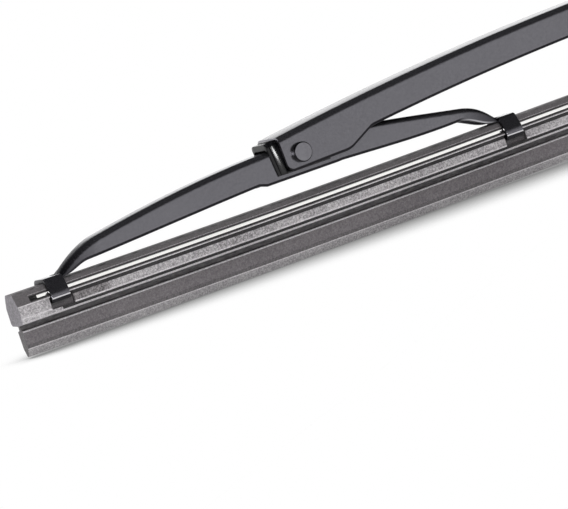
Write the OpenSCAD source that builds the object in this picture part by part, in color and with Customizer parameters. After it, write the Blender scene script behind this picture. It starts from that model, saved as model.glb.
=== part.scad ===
// Classic wiper blade with a pressed-steel frame: one bridge over two pivoting yokes, and a
// moulded rubber held by four claws and stiffened by two flat steel rails.
// The blade lies along X and wipes along Y. Heights are given from the wiping lip, and the model
// is then lowered so that the origin is the centre of the arm sleeve. Mirrored pieces repeat
// the left half.

/* [Layout] */
// Distance between the two claws of one yoke, outer part, from the outer claw to the pivot
outer_arm = 58; // [45:1:75]
// Distance from the pivot to the inner claw
inner_arm = 48.5; // [38:0.5:65]
// Distance between the inner claws of the two yokes
middle_gap = 98; // [90:1:150]
// Length of rubber beyond each outer claw
end_overhang = 9; // [8:0.5:15]

/* [Wiping rubber] */
// Height from the wiping lip to the top of the head
rubber_h = 12.6; // [12.3:0.1:13.2]
// Width of the head at its side bands
head_w = 5.9; // [5.6:0.1:6.4]
// Width of the flat on top of the head
head_flat_w = 3.3; // [2.8:0.1:3.5]
// Height at which the sloped shoulder meets the side band
shoulder_z = 9.95; // [9.9:0.05:10.1]
// Height of the lower edge of the side band
band_z = 6.8; // [6.4:0.1:7.1]
// Width of the bevel under the side band
band_bevel = 0.45; // [0.2:0.05:0.6]
// Thickness of the web that joins head and body
web_w = 0.8; // [0.6:0.1:1.2]
// Height of the open groove beside the web
web_h = 1; // [0.6:0.1:1.2]
// Fall of the groove's upper and lower faces
groove_fall = 0.1; // [0.05:0.05:0.2]
// Width of the body at its shoulders
body_w = 2.6; // [2.2:0.1:4]
// Width of the body where its last bevel starts
bevel_w = 2.2; // [1.6:0.1:2.6]
// Height at which the last bevel starts
bevel_z = 1.8; // [1:0.1:2.5]
// Width of the wiping lip
lip_w = 0.8; // [0.5:0.1:1.2]
// Distance by which web and body end before the head
body_inset = 0.2; // [0:0.1:1.5]
// Depth of the fine mould line above the band's lower edge
mould_line = 0.15; // [0.1:0.05:0.3]

/* [Rails] */
// Thickness of a steel rail
rail_t = 0.7; // [0.6:0.05:0.8]
// Width of a steel rail
rail_w = 1.9; // [1.5:0.1:2]
// Height of the underside of the rails
rail_z = 10.45; // [10.35:0.05:10.6]
// How far a rail stands out of the shoulder, at its middle
rail_proud = 0.1; // [0:0.05:0.15]
// Gap between a rail and its slot
rail_gap = 0.06; // [0.03:0.01:0.12]
// Distance from the end of the rubber to the slot
slot_inset = 3; // [1.5:0.1:4]
// Distance from the end of the slot to the end of the rail
rail_inset = 1.6; // [1:0.1:3]

/* [Claws] */
// Width of a claw along the blade
claw_w = 4; // [3:0.1:5]
// Gap between the claw roof and the top of the head
claw_top_gap = 0.2; // [0.1:0.05:0.3]
// Gap between the claw sides and the side bands
claw_side_gap = 0.2; // [0.15:0.05:0.35]
// Gap between the claw slope and the rail
claw_rail_gap = 0.1; // [0.08:0.02:0.2]
// Height of the gripping face of the claw tips
tip_z = 9.6; // [9.2:0.05:9.7]
// How far the tips reach under the head from the side bands
tip_reach = 0.7; // [0.4:0.05:0.9]
// Height of the pocket's floor under a claw tip
pocket_low_z = 7.4; // [7.3:0.1:8.4]
// Gap above, behind and beside a tip in its pocket
pocket_gap = 0.2; // [0.15:0.05:0.3]
// Extra length of the pocket on the side of the blade's middle
pocket_play = 0.6; // [0.3:0.1:1.2]
// Outer radius where a claw's roof bends into its slopes
claw_roof_r = 1.1; // [0.9:0.1:1.3]
// Outer radius where a claw's slopes bend into its sides
claw_side_r = 3; // [1.2:0.1:3.1]
// Outer radius where a claw's sides turn in to the tips
claw_tip_r = 0.9; // [0.7:0.1:1]

/* [Yokes] */
// Sheet thickness of the yokes
yoke_sheet = 0.85; // [0.7:0.05:1]
// Outer width of a yoke
yoke_w = 6; // [5.4:0.1:6.4]
// Outer radius of the folded edges of a yoke
yoke_edge_r = 1.3; // [1:0.1:1.6]
// Length of the gooseneck, from the claw to the start of the arm
neck_l = 10; // [8:0.5:13]
// Rise of the gooseneck above the claw roof
neck_rise = 4.75; // [4.4:0.05:5.4]
// Slope of the outer gooseneck where it leaves the claw
neck_slope = 0.75; // [0.6:0.05:1]
// Slope of the inner gooseneck where it leaves the claw
inner_neck_slope = 1.2; // [0.9:0.05:1.3]
// Width of the gooseneck where it leaves the claw
neck_w = 4.2; // [3.6:0.1:4.8]
// Slope of the top edge where the arm starts
arm_slope = 0.17; // [0.12:0.01:0.22]
// Height of the yoke's crown above the pivot
crown_h = 2.1; // [1.9:0.05:2.2]
// Gap between the claws' roof and the wall's lower edge beside them
wall_foot = 0.1; // [0.05:0.05:0.3]
// Distance from a claw to where the wall's lower edge starts to rise
wall_rise_x = 0.8; // [0.5:0.1:1.2]
// Length of that rise on the outer arm
outer_rise_l = 5.5; // [4.5:0.5:7]
// Length of that rise on the inner arm
inner_rise_l = 8.4; // [7:0.2:9]
// Height of the outer wall's lower edge above the head after the rise
outer_wall_low = 1.8; // [1.6:0.1:2.2]
// Height of the inner wall's lower edge above the head after the rise
inner_wall_low = 2.95; // [2.6:0.05:3.1]
// Slope of the outer wall's lower edge after the rise
outer_wall_slope = 0.05; // [0:0.01:0.08]
// Slope of the inner wall's lower edge after the rise
inner_wall_slope = -0.04; // [-0.06:0.01:0.02]
// Slope of the outer wall's lower edge where it comes to the pivot
outer_wall_end_slope = 0.03; // [0:0.01:0.05]
// Depth below the pivot to which the outer wall's lower edge runs
outer_wall_drop = 3.6; // [3.4:0.05:4.2]
// Depth below the pivot to which the inner wall's lower edge runs
inner_wall_drop = 4.25; // [4:0.05:4.4]
// Depth of the boss round the pivot
boss_drop = 4.5; // [4.4:0.05:4.8]
// Half length of the boss
boss_half_l = 8.3; // [7:0.1:10]
// Slope of the boss at its ends
boss_slope = 0.35; // [0.2:0.05:0.6]

/* [Pivots] */
// Height of the yoke pivots above the wiping lip
pivot_z = 20.6; // [20.4:0.1:21]
// Radius of the rivet shank
rivet_r = 1.25; // [1:0.05:1.4]
// Radius of the rivet heads
rivet_head_r = 2.05; // [1.9:0.05:2.4]
// Height of the rivet heads
rivet_head_h = 1.1; // [0.7:0.1:1.4]
// Radial gap between the rivet and the holes of the fixed pieces
rivet_seat_gap = 0.03; // [0.02:0.01:0.05]
// Radial gap between the rivet and the hole of the yoke
rivet_run_gap = 0.05; // [0.04:0.01:0.1]

/* [Liners] */
// Side wall of the plastic liner between yoke and bridge
liner_t = 0.8; // [0.6:0.05:0.9]
// Roof of the liner
liner_roof_t = 0.5; // [0.4:0.05:0.6]
// Length of the liner on each side of the pivot
liner_half_l = 6; // [4.5:0.1:6.1]
// Sideways gap between the liner and the yoke
liner_run_gap = 0.1; // [0.08:0.02:0.15]
// Gap between the liner and the bridge
liner_seat_gap = 0.1; // [0.08:0.02:0.15]
// Outer radius of the liner's folded edges
liner_edge_r = 1.1; // [0.9:0.1:1.3]
// Inner radius of the liner's folded edges
liner_inner_r = 0.3; // [0.2:0.1:0.5]

/* [Bridge] */
// Height of the bridge's top above the pivots, straight over them
bridge_over_pivot = 4.8; // [4.7:0.1:5.4]
// Radius of the bridge's arc
bridge_r = 750; // [720:10:850]
// Depth of the bridge's walls along the span
bridge_depth = 6.6; // [5.5:0.1:7.5]
// Sheet thickness of the bridge
bridge_sheet = 0.9; // [0.7:0.05:1]
// Outer radius of the folded edges of the bridge
bridge_edge_r = 1.4; // [1.2:0.1:1.8]
// Length of the cheeks beyond a pivot, along their lower edge
bridge_past_pivot = 3.6; // [3:0.1:4.2]
// Lean of the bridge's ends, outwards at the top
bridge_end_lean = 3.6; // [0:0.1:7]
// Depth of the end cheeks below the pivot
cheek_drop = 3.3; // [2.9:0.1:3.6]
// Length of the straight lower edge of an end cheek inside the pivot
cheek_flat_l = 11; // [8:0.5:14]
// Rise of that straight edge towards the blade's middle
cheek_rise = 0.45; // [0:0.05:0.6]
// Length of the curve from an end cheek up to the span
cheek_curve_l = 6; // [5:0.5:9]
// Radius of the cheeks' lower end corners
cheek_end_r = 1.5; // [1:0.1:2]
// Radius where a cheek's curve meets the span
cheek_top_r = 3.5; // [2:0.5:4]
// Radius where a cheek's curve leaves its flat edge
cheek_low_r = 5; // [3:0.5:7]

/* [Arm fixing] */
// Depth of the arm sleeve's axis below the bridge's top
sleeve_drop = 6.7; // [6.4:0.1:7.2]
// Radius of the sleeve's bore, for a 4.76 mm side pin
sleeve_bore_r = 2.4; // [2.2:0.05:2.6]
// Wall of the sleeve
sleeve_t = 0.6; // [0.4:0.05:0.8]
// Radius of the sleeve's flared ends
flare_r = 4.1; // [3.8:0.1:4.6]
// Thickness of the sleeve's flared ends
flare_t = 0.6; // [0.4:0.1:0.8]
// Radius of the ears round the sleeve
ear_r = 5.6; // [5:0.1:6.5]
// Length of the curve from an ear up to the span
ear_curve_l = 9; // [6:0.5:12]
// Radius of the ears' lower corners
ear_low_r = 5; // [3:0.5:5.5]
// Radius where an ear's curve meets the span
ear_top_r = 8; // [5:0.5:9]
// Length of the window in the roof
window_l = 32; // [26:1:36]

/* [Hidden] */
$fn = 48;
cut = 0.01;                      // how far a cutter runs past the face it opens
clear = 1;                       // how far a through cut runs past the solid
root_sink = 0.3;                 // how far the outlines of cheeks and ears end inside the span
arc_steps = 6;                   // straight steps in a rounded corner
fold_steps = 5;                  // straight steps in a fold of the yokes
inner_claw_x = middle_gap / 2;
outer_claw_x = inner_claw_x + inner_arm + outer_arm;
pivot_x = inner_claw_x + inner_arm;
rubber_l = 2 * (outer_claw_x + end_overhang);
neck_top_z = band_z - band_bevel - groove_fall;
neck_low_z = neck_top_z - web_h;
head_slope = (head_w - head_flat_w) / 2 / (rubber_h - shoulder_z);
rail_mid_z = rail_z + rail_t / 2;
rail_out_y = head_flat_w / 2 + head_slope * (rubber_h - rail_mid_z) + rail_proud;
slot_l = rubber_l - 2 * slot_inset;
rail_l = slot_l - 2 * rail_inset;
claw_roof_z = rubber_h + claw_top_gap;
claw_top_z = claw_roof_z + yoke_sheet;
claw_side_y = head_w / 2 + claw_side_gap;
claw_slope_y = rail_out_y + claw_rail_gap + head_slope * (rail_z + rail_t - claw_roof_z);
claw_bend_z = claw_roof_z - (claw_side_y - claw_slope_y) / head_slope;
crown_z = pivot_z + crown_h;
arc_centre_z = pivot_z + bridge_over_pivot - sqrt(bridge_r ^ 2 - pivot_x ^ 2);
bridge_top = arc_centre_z + bridge_r;
sleeve_z = bridge_top - sleeve_drop;
pivot_radius = norm([pivot_x, pivot_z - arc_centre_z]);
pivot_tilt = atan2(pivot_x, pivot_z - arc_centre_z);
bridge_roof_over_pivot = bridge_r - bridge_sheet - pivot_radius;
liner_w = yoke_w + 2 * (liner_run_gap + liner_t);
bridge_w = liner_w + 2 * (liner_seat_gap + bridge_sheet);
cheek_z = pivot_z - cheek_drop;

// Smooth cubic from z0 with slope s0 at x0 to z1 with slope s1 at x1
function smooth(x, x0, z0, s0, x1, z1, s1) =
    let (h = x1 - x0, t = (x - x0) / h)
    z0 * (2 * t ^ 3 - 3 * t ^ 2 + 1) + s0 * h * (t ^ 3 - 2 * t ^ 2 + t)
    + z1 * (3 * t ^ 2 - 2 * t ^ 3) + s1 * h * (t ^ 3 - t ^ 2);

// Points that round the corner p between a and b with radius r
function corner(a, p, b, r) =
    let (u = (a - p) / norm(a - p), v = (b - p) / norm(b - p),
         half = acos(u * v) / 2,
         centre = p + (u + v) / norm(u + v) * r / sin(half),
         start = p + u * r / tan(half) - centre,
         turn = cross(u, v) > 0 ? -1 : 1,
         sweep = 180 - 2 * half)
    [for (i = [0 : arc_steps]) let (g = turn * sweep * i / arc_steps)
        centre + [start.x * cos(g) - start.y * sin(g), start.x * sin(g) + start.y * cos(g)]];

// Outline whose corners [x, y, r] are rounded where r is above 0
function rounded(c) =
    [for (i = [0 : len(c) - 1])
        let (a = c[(i + len(c) - 1) % len(c)], p = c[i], b = c[(i + 1) % len(c)])
        each p[2] > 0 ? corner([a.x, a.y], [p.x, p.y], [b.x, b.y], p[2]) : [[p.x, p.y]]];

function reversed(list) = [for (i = [len(list) - 1 : -1 : 0]) list[i]];

function mirrored_y(points) = concat(points, [for (p = reversed(points)) [-p.x, p.y]]);

// Turns a profile drawn in width and height into a bar along X, centred on X = 0
module bar(length) {
    rotate([90, 0, 90])
        translate([0, 0, -length / 2])
            linear_extrude(length)
                children();
}

// Turns an outline drawn in X and Z into a slab across Y, centred on Y = 0
module slab(width) {
    rotate([90, 0, 0])
        translate([0, 0, -width / 2])
            linear_extrude(width)
                children();
}

module across(r, length) {
    rotate([90, 0, 0])
        cylinder(r = r, h = length, center = true);
}

module lowered() {
    translate([0, 0, -sleeve_z])
        children();
}

// Height of a yoke's top edge at x from its pivot; the outer claw is at negative x
function side_arm(x) = x < 0 ? outer_arm : inner_arm;
function from_claw(x) = side_arm(x) - abs(x) - claw_w / 2;
function yoke_top(x) =
    from_claw(x) < neck_l
        ? smooth(from_claw(x), 0, claw_top_z, x < 0 ? neck_slope : inner_neck_slope,
                 neck_l, claw_top_z + neck_rise, arm_slope)
        : smooth(from_claw(x), neck_l, claw_top_z + neck_rise, arm_slope,
                 side_arm(x) - claw_w / 2, crown_z, 0);

// Height of the boss's lower edge, which ends where the plain wall is deeper
function boss_low(x) = pivot_z - boss_drop + boss_slope * max(0, abs(x) - boss_half_l);

// Height of a yoke's lower wall edge
function yoke_low(x) =
    let (outside = x < 0, d = from_claw(x), foot_z = claw_roof_z + wall_foot,
         rise_end = wall_rise_x + (outside ? outer_rise_l : inner_rise_l),
         rise_z = rubber_h + (outside ? outer_wall_low : inner_wall_low),
         slope = outside ? outer_wall_slope : inner_wall_slope,
         end_z = pivot_z - (outside ? outer_wall_drop : inner_wall_drop),
         end_slope = outside ? outer_wall_end_slope : 0)
    min(boss_low(x),
        d < wall_rise_x ? foot_z
        : d < rise_end ? smooth(d, wall_rise_x, foot_z, 0, rise_end, rise_z, slope)
        : smooth(d, rise_end, rise_z, slope, side_arm(x) - claw_w / 2, end_z, end_slope));

// Half width of a yoke
function yoke_half(x) =
    from_claw(x) < neck_l ? smooth(from_claw(x), 0, neck_w / 2, 0, neck_l, yoke_w / 2, 0)
                          : yoke_w / 2;

// Half of a folded sheet's outline as [y, z] points, from the lower wall edge to the roof
function fold(w, top, low, r) =
    concat([[w, low]],
           [for (i = [0 : fold_steps]) let (g = 90 * i / fold_steps)
                [w - r + r * cos(g), top - r + r * sin(g)]]);

// One folded section of a yoke: its outer face from right to left, then its inner face back
function yoke_ring(x) =
    let (step = 0.05, slope = (yoke_top(x + step) - yoke_top(x - step)) / (2 * step),
         top = yoke_top(x), w = yoke_half(x), t = yoke_sheet,
         roof = top - min(t * sqrt(1 + slope ^ 2), top - claw_roof_z),
         low = min(yoke_low(x), roof - 0.1),
         outer = fold(w, top, low, min(yoke_edge_r, (top - low) * 0.9)),
         inner = fold(w - t, roof, low, min(yoke_edge_r - t, (roof - low) * 0.9)))
    concat(mirrored_y(outer), reversed(mirrored_y(inner)));

// Stations along a yoke, close together on the goosenecks and at the boss's ends
function yoke_stations() =
    let (sink = 0.3, ramp = 3, a = -outer_arm + claw_w / 2, b = inner_arm - claw_w / 2)
    concat([a - sink], [for (d = [0 : 1 : neck_l]) a + d],
           [for (x = [a + neck_l + 3 : 3 : -boss_half_l - ramp - 1]) x],
           [for (d = [ramp : -0.5 : 0]) -boss_half_l - d],
           [-boss_half_l / 2, 0, boss_half_l / 2],
           [for (d = [0 : 0.5 : ramp]) boss_half_l + d],
           [for (x = [boss_half_l + ramp + 3 : 3 : b - neck_l - 1]) x],
           [for (d = [neck_l : -1 : 0]) b - d], [b + sink]);

// The yoke's folded sheet, lofted through its sections
module yoke_channel() {
    rings = [for (x = yoke_stations()) [for (p = yoke_ring(x)) [x, p.x, p.y]]];
    n = len(rings[0]);
    last = (len(rings) - 1) * n;
    sides = [for (i = [0 : len(rings) - 2]) for (j = [0 : n - 1])
                let (a = i * n + j, b = i * n + (j + 1) % n)
                each [[a, a + n, b + n], [a, b + n, b]]];
    caps = [for (j = [0 : n / 2 - 2])
                let (k = n - 1 - j)
                each [[j, j + 1, k - 1, k], [last + k, last + k - 1, last + j + 1, last + j]]];
    polyhedron([for (ring = rings) each ring], concat(sides, caps), convexity = 6);
}

// Bent strip that wraps the head and turns its tips into the pockets
module claw() {
    t = yoke_sheet;
    slope_len = sqrt(1 + head_slope ^ 2);
    out_slope_y = claw_slope_y + t * slope_len - head_slope * t;
    out_bend_z = claw_bend_z + t * (slope_len - 1) / head_slope;
    tip_y = head_w / 2 - tip_reach;
    outer = [[out_slope_y, claw_top_z, claw_roof_r], [claw_side_y + t, out_bend_z, claw_side_r],
             [claw_side_y + t, tip_z - t, claw_tip_r], [tip_y, tip_z - t, 0]];
    inner = [[tip_y, tip_z, 0], [claw_side_y, tip_z, max(0.1, claw_tip_r - t)],
             [claw_side_y, claw_bend_z, claw_side_r - t],
             [claw_slope_y, claw_roof_z, claw_roof_r - t]];
    left = [for (c = reversed(inner)) [-c.x, c.y, c.z]];
    left_out = [for (c = reversed(outer)) [-c.x, c.y, c.z]];
    bar(claw_w)
        polygon(rounded(concat(outer, inner, left, left_out)));
}

// Yoke drawn with its pivot at X = 0 and its outer claw at negative X
module yoke() {
    difference() {
        union() {
            yoke_channel();
            translate([-outer_arm, 0, 0])
                claw();
            translate([inner_arm, 0, 0])
                claw();
        }
        translate([0, 0, pivot_z])
            across(rivet_r + rivet_run_gap, yoke_w + 2 * clear);
    }
}

module rivet() {
    shank_l = bridge_w + 2 * cut;
    translate([0, 0, pivot_z]) {
        across(rivet_r, shank_l);
        for (side = [-1, 1])
            translate([0, side * (bridge_w + rivet_head_h) / 2, 0])
                across(rivet_head_r, rivet_head_h);
    }
}

// Plastic saddle drawn round the pivot, tilted as the bridge is there
module liner() {
    roof = bridge_roof_over_pivot - liner_seat_gap;
    inner_w = yoke_w + 2 * liner_run_gap;
    skirt = cheek_drop + 2 * liner_half_l;
    translate([0, 0, pivot_z])
        difference() {
            rotate([0, -pivot_tilt, 0])
                bar(2 * liner_half_l)
                    difference() {
                        polygon(rounded([[-liner_w / 2, -skirt, 0], [liner_w / 2, -skirt, 0],
                                         [liner_w / 2, roof, liner_edge_r],
                                         [-liner_w / 2, roof, liner_edge_r]]));
                        polygon(rounded([[-inner_w / 2, -skirt - clear, 0],
                                         [inner_w / 2, -skirt - clear, 0],
                                         [inner_w / 2, roof - liner_roof_t, liner_inner_r],
                                         [-inner_w / 2, roof - liner_roof_t, liner_inner_r]]));
                    }
            translate([0, 0, -cheek_drop - 2 * skirt])
                cube([4 * skirt, 4 * skirt, 4 * skirt], center = true);
            across(rivet_r + rivet_seat_gap, liner_w + 2 * clear);
        }
}

// Folded channel bent to the bridge's arc, with walls deep enough for the cheeks
module bridge_arc() {
    deep = bridge_top - cheek_z + 2 * clear;
    t = bridge_sheet;
    translate([0, 0, arc_centre_z])
        rotate([90, 0, 0])
            rotate_extrude($fn = 360)
                difference() {
                    polygon(rounded([[bridge_r - deep, -bridge_w / 2, 0],
                                     [bridge_r, -bridge_w / 2, bridge_edge_r],
                                     [bridge_r, bridge_w / 2, bridge_edge_r],
                                     [bridge_r - deep, bridge_w / 2, 0]]));
                    polygon(rounded([[bridge_r - deep - clear, -bridge_w / 2 + t, 0],
                                     [bridge_r - t, -bridge_w / 2 + t, bridge_edge_r - t],
                                     [bridge_r - t, bridge_w / 2 - t, bridge_edge_r - t],
                                     [bridge_r - deep - clear, bridge_w / 2 - t, 0]]));
                }
}

// Height of the lower edge of the bridge's span at x
function span_low(x) = arc_centre_z + sqrt((bridge_r - bridge_depth) ^ 2 - x ^ 2);

// Side view of the span: a band between two arcs, from pivot to pivot
module span_outline() {
    a = pivot_tilt;
    out = bridge_r + clear;
    translate([0, arc_centre_z])
        difference() {
            polygon([[0, 0], out * [-sin(a), cos(a)], [0, out * 1.02], out * [sin(a), cos(a)]]);
            circle(bridge_r - bridge_depth, $fn = 360);
        }
}

// Side view of the cheek that carries the right rivet, with an S-curve up to the span
module cheek_outline() {
    end_x = pivot_x + bridge_past_pivot;
    flat_x = pivot_x - cheek_flat_l;
    span_x = flat_x - cheek_curve_l;
    far_x = span_x - cheek_curve_l / 2;
    polygon(rounded([[end_x, cheek_z, cheek_end_r],
                     [end_x + (bridge_top - cheek_z) * tan(bridge_end_lean), bridge_top, 0],
                     [far_x, bridge_top, 0],
                     [far_x, span_low(far_x) + root_sink, 0],
                     [span_x, span_low(span_x), cheek_top_r],
                     [flat_x, cheek_z + cheek_rise, cheek_low_r]]));
}

// Side view of the ears that hold the arm sleeve
module ear_outline() {
    low = sleeve_z - ear_r;
    root_x = ear_r + ear_curve_l;
    far_x = root_x + ear_curve_l / 2;
    high = span_low(root_x) + bridge_depth / 2;
    polygon(rounded([[-far_x, span_low(far_x) + root_sink, 0], [-root_x, span_low(root_x), ear_top_r],
                     [-ear_r, low, ear_low_r], [ear_r, low, ear_low_r],
                     [root_x, span_low(root_x), ear_top_r],
                     [far_x, span_low(far_x) + root_sink, 0], [far_x, high, 0], [-far_x, high, 0]]));
}

module primary_bridge() {
    color("dimgray")
        lowered()
            difference() {
                intersection() {
                    bridge_arc();
                    union() {
                        slab(bridge_w + 2 * clear)
                            span_outline();
                        slab(bridge_w + 2 * clear)
                            cheek_outline();
                        mirror([1, 0, 0])
                            slab(bridge_w + 2 * clear)
                                cheek_outline();
                        slab(bridge_w + 2 * clear)
                            ear_outline();
                    }
                }
                for (side = [-1, 1])
                    translate([side * pivot_x, 0, pivot_z])
                        across(rivet_r + rivet_seat_gap, bridge_w + 2 * clear);
                translate([0, 0, sleeve_z])
                    across(sleeve_bore_r + sleeve_t + rivet_seat_gap, bridge_w + 2 * clear);
                translate([-window_l / 2, -bridge_w / 2 + bridge_sheet, bridge_top - 2 * bridge_sheet])
                    cube([window_l, bridge_w - 2 * bridge_sheet, 4 * bridge_sheet]);
            }
}

module left_yoke() {
    color([0.2, 0.2, 0.22])
        lowered()
            translate([-pivot_x, 0, 0])
                yoke();
}

module right_yoke() {
    color([0.2, 0.2, 0.22])
        lowered()
            mirror([1, 0, 0])
                translate([-pivot_x, 0, 0])
                    yoke();
}

module left_rivet() {
    color("gray")
        lowered()
            translate([-pivot_x, 0, 0])
                rivet();
}

module right_rivet() {
    color("gray")
        lowered()
            translate([pivot_x, 0, 0])
                rivet();
}

module left_liner() {
    color([0.08, 0.08, 0.1])
        lowered()
            translate([-pivot_x, 0, 0])
                liner();
}

module right_liner() {
    color([0.08, 0.08, 0.1])
        lowered()
            mirror([1, 0, 0])
                translate([-pivot_x, 0, 0])
                    liner();
}

// Section of the rubber's head, with sloped shoulders
module head_section() {
    head = head_w / 2;
    half = [[head_flat_w / 2, rubber_h], [head, shoulder_z], [head, band_z],
            [head - band_bevel, band_z - band_bevel], [web_w / 2, neck_top_z]];
    polygon(mirrored_y(half));
}

// Section of the web, the tapering body and the lip
module body_section() {
    half = [[web_w / 2, neck_top_z + groove_fall], [web_w / 2, neck_low_z],
            [body_w / 2, neck_low_z - groove_fall], [bevel_w / 2, bevel_z], [lip_w / 2, 0]];
    polygon(mirrored_y(half));
}

module rail_section(gap) {
    translate([rail_out_y - rail_w - gap, rail_z - gap])
        square([rail_w + 2 * gap, rail_t + 2 * gap]);
}

module rail() {
    bar(rail_l)
        rail_section(0);
}

module wiping_rubber() {
    pocket_l = claw_w + 2 * pocket_gap + pocket_play;
    pocket_y = head_w / 2 - tip_reach - pocket_gap;
    line_z = band_z + 2 * mould_line;
    color("dimgray")
        lowered()
            difference() {
                union() {
                    bar(rubber_l)
                        head_section();
                    bar(rubber_l - 2 * body_inset)
                        body_section();
                }
                for (side = [0, 1])
                    mirror([0, side, 0]) {
                        bar(slot_l)
                            rail_section(rail_gap);
                        translate([-outer_claw_x, head_w / 2 - mould_line, line_z])
                            cube([2 * outer_claw_x, 2 * mould_line, 2 * mould_line]);
                        for (end = [0, 1], x = [outer_claw_x, inner_claw_x])
                            mirror([end, 0, 0])
                                translate([x + claw_w / 2 + pocket_gap - pocket_l, pocket_y, pocket_low_z])
                                    cube([pocket_l, head_w, tip_z + pocket_gap - pocket_low_z]);
                    }
            }
}

module front_rail() {
    color("silver")
        lowered()
            mirror([0, 1, 0])
                rail();
}

module back_rail() {
    color("silver")
        lowered()
            rail();
}

// Rolled tube through the ears, flared over them at both ends
module arm_sleeve() {
    color("gray")
        lowered()
            translate([0, 0, sleeve_z])
                difference() {
                    union() {
                        across(sleeve_bore_r + sleeve_t, bridge_w + 2 * cut);
                        for (side = [-1, 1])
                            translate([0, side * (bridge_w + flare_t) / 2, 0])
                                across(flare_r, flare_t);
                    }
                    across(sleeve_bore_r, bridge_w + 2 * flare_t + 2 * clear);
                }
}

primary_bridge();
left_yoke();
right_yoke();
left_rivet();
right_rivet();
left_liner();
right_liner();
wiping_rubber();
front_rail();
back_rail();
arm_sleeve();
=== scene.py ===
"""Classic wiper blade, pressed-steel bridge over two pivoting yokes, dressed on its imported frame.

Lengths below are in millimetres and repeat the source's named sizes. Z = 0 in the helpers is the
wiping lip, and every mesh is lowered by SLEEVE_Z into the frame, whose origin is the arm sleeve.
"""
import math
from types import SimpleNamespace

import bmesh
import bpy
import numpy as np
from mathutils import Matrix, Vector

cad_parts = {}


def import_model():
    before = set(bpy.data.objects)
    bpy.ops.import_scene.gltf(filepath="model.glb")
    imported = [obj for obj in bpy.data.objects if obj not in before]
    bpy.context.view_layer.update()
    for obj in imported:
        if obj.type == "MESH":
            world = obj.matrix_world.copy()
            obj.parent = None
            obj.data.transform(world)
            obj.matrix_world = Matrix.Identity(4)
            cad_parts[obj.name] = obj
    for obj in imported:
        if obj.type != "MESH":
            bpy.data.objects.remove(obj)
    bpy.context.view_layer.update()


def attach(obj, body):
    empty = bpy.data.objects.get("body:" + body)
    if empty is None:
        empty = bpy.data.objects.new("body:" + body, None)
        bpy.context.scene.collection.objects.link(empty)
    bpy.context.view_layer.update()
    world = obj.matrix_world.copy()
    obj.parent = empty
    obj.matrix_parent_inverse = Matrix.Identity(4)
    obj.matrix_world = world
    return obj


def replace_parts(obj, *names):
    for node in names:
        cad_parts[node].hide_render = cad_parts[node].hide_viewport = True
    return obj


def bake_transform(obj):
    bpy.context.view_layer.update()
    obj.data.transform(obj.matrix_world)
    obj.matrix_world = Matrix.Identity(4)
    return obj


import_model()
MM = 0.001

# Sizes of the source
OUTER = SimpleNamespace(length=58.0, neck_slope=0.75, rise_l=5.5, rise=1.8,
                        slope=0.05, end_slope=0.03, drop=3.6)
INNER = SimpleNamespace(length=48.5, neck_slope=1.2, rise_l=8.4, rise=2.95,
                        slope=-0.04, end_slope=0.0, drop=4.25)
MIDDLE_GAP, OVERHANG = 98.0, 9.0
INNER_X = MIDDLE_GAP / 2
PIVOT_X = INNER_X + INNER.length
OUTER_X = PIVOT_X + OUTER.length
RUBBER_L = 2 * (OUTER_X + OVERHANG)
RUBBER_H, SHOULDER_Z, BAND_Z = 12.6, 9.95, 6.8        # heights above the lip
HEAD_W, FLAT_W, BAND_BEVEL = 5.9, 3.3, 0.45
WEB_W, WEB_H, FALL = 0.8, 1.0, 0.1                    # web between head and body, fall of the faces beside it
BODY_W, BEVEL_W, BEVEL_Z, LIP_W = 2.6, 2.2, 1.6, 0.8
BODY_INSET = 0.2                                      # the body ends this much before the head
RAIL_T, RAIL_W, RAIL_Z, RAIL_PROUD, RAIL_GAP = 0.7, 1.9, 10.45, 0.1, 0.06
SLOT_END, RAIL_PLAY = 3.0, 1.6                        # rubber's end to slot's end, and on to the rail's
SLOT_X = RUBBER_L / 2 - SLOT_END
RAIL_X = SLOT_X - RAIL_PLAY
HEAD_SLOPE = (HEAD_W - FLAT_W) / 2 / (RUBBER_H - SHOULDER_Z)
RAIL_OUT = FLAT_W / 2 + HEAD_SLOPE * (RUBBER_H - RAIL_Z - RAIL_T / 2) + RAIL_PROUD
CLAW_W, ROOF_Z, SHEET = 4.0, 12.8, 0.85
SIDE_GAP, RAIL_CLEAR = 0.2, 0.1                       # from the claw to the head's side and to the rail
SIDE_Y, TIP_Z, TIP_REACH = HEAD_W / 2 + SIDE_GAP, 9.6, 0.7
POCKET_Z, POCKET_GAP, POCKET_PLAY = 7.4, 0.2, 0.6
YOKE_W, YOKE_R, NECK_L, NECK_W = 6.0, 1.3, 10.0, 4.2
NECK_RISE, ARM_SLOPE = 4.75, 0.17
WALL_FOOT, WALL_RISE_X = 0.1, 0.8
PIVOT_Z, CROWN_H = 20.6, 2.1
BOSS_DROP, BOSS_L, BOSS_SLOPE = 4.5, 8.3, 0.35
RIVET_HEAD_R, RIVET_HEAD_H = 2.05, 1.1
LAYER_GAP = 0.1                                       # between yoke, liner and bridge
LINER_T, LINER_ROOF_T, LINER_L, LINER_R = 0.8, 0.5, 6.0, 1.1
BRIDGE_R, BRIDGE_DEPTH, BRIDGE_T, BRIDGE_EDGE = 750.0, 6.6, 0.9, 1.4
BRIDGE_OVER, SLEEVE_UNDER = 4.8, 6.7                  # its top above the pivot, the sleeve under its middle
ARC_Z = PIVOT_Z + BRIDGE_OVER - math.sqrt(BRIDGE_R ** 2 - PIVOT_X ** 2)
BRIDGE_TOP = ARC_Z + BRIDGE_R
SLEEVE_Z = BRIDGE_TOP - SLEEVE_UNDER
BRIDGE_PAST, BRIDGE_LEAN = 3.6, math.radians(3.6)     # end beyond the pivot, and the end's slant
CHEEK_DROP, CHEEK_RISE, CHEEK_L, CHEEK_RUN = 3.3, 0.45, 11.0, 6.0
CHEEK_Z = PIVOT_Z - CHEEK_DROP
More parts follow.
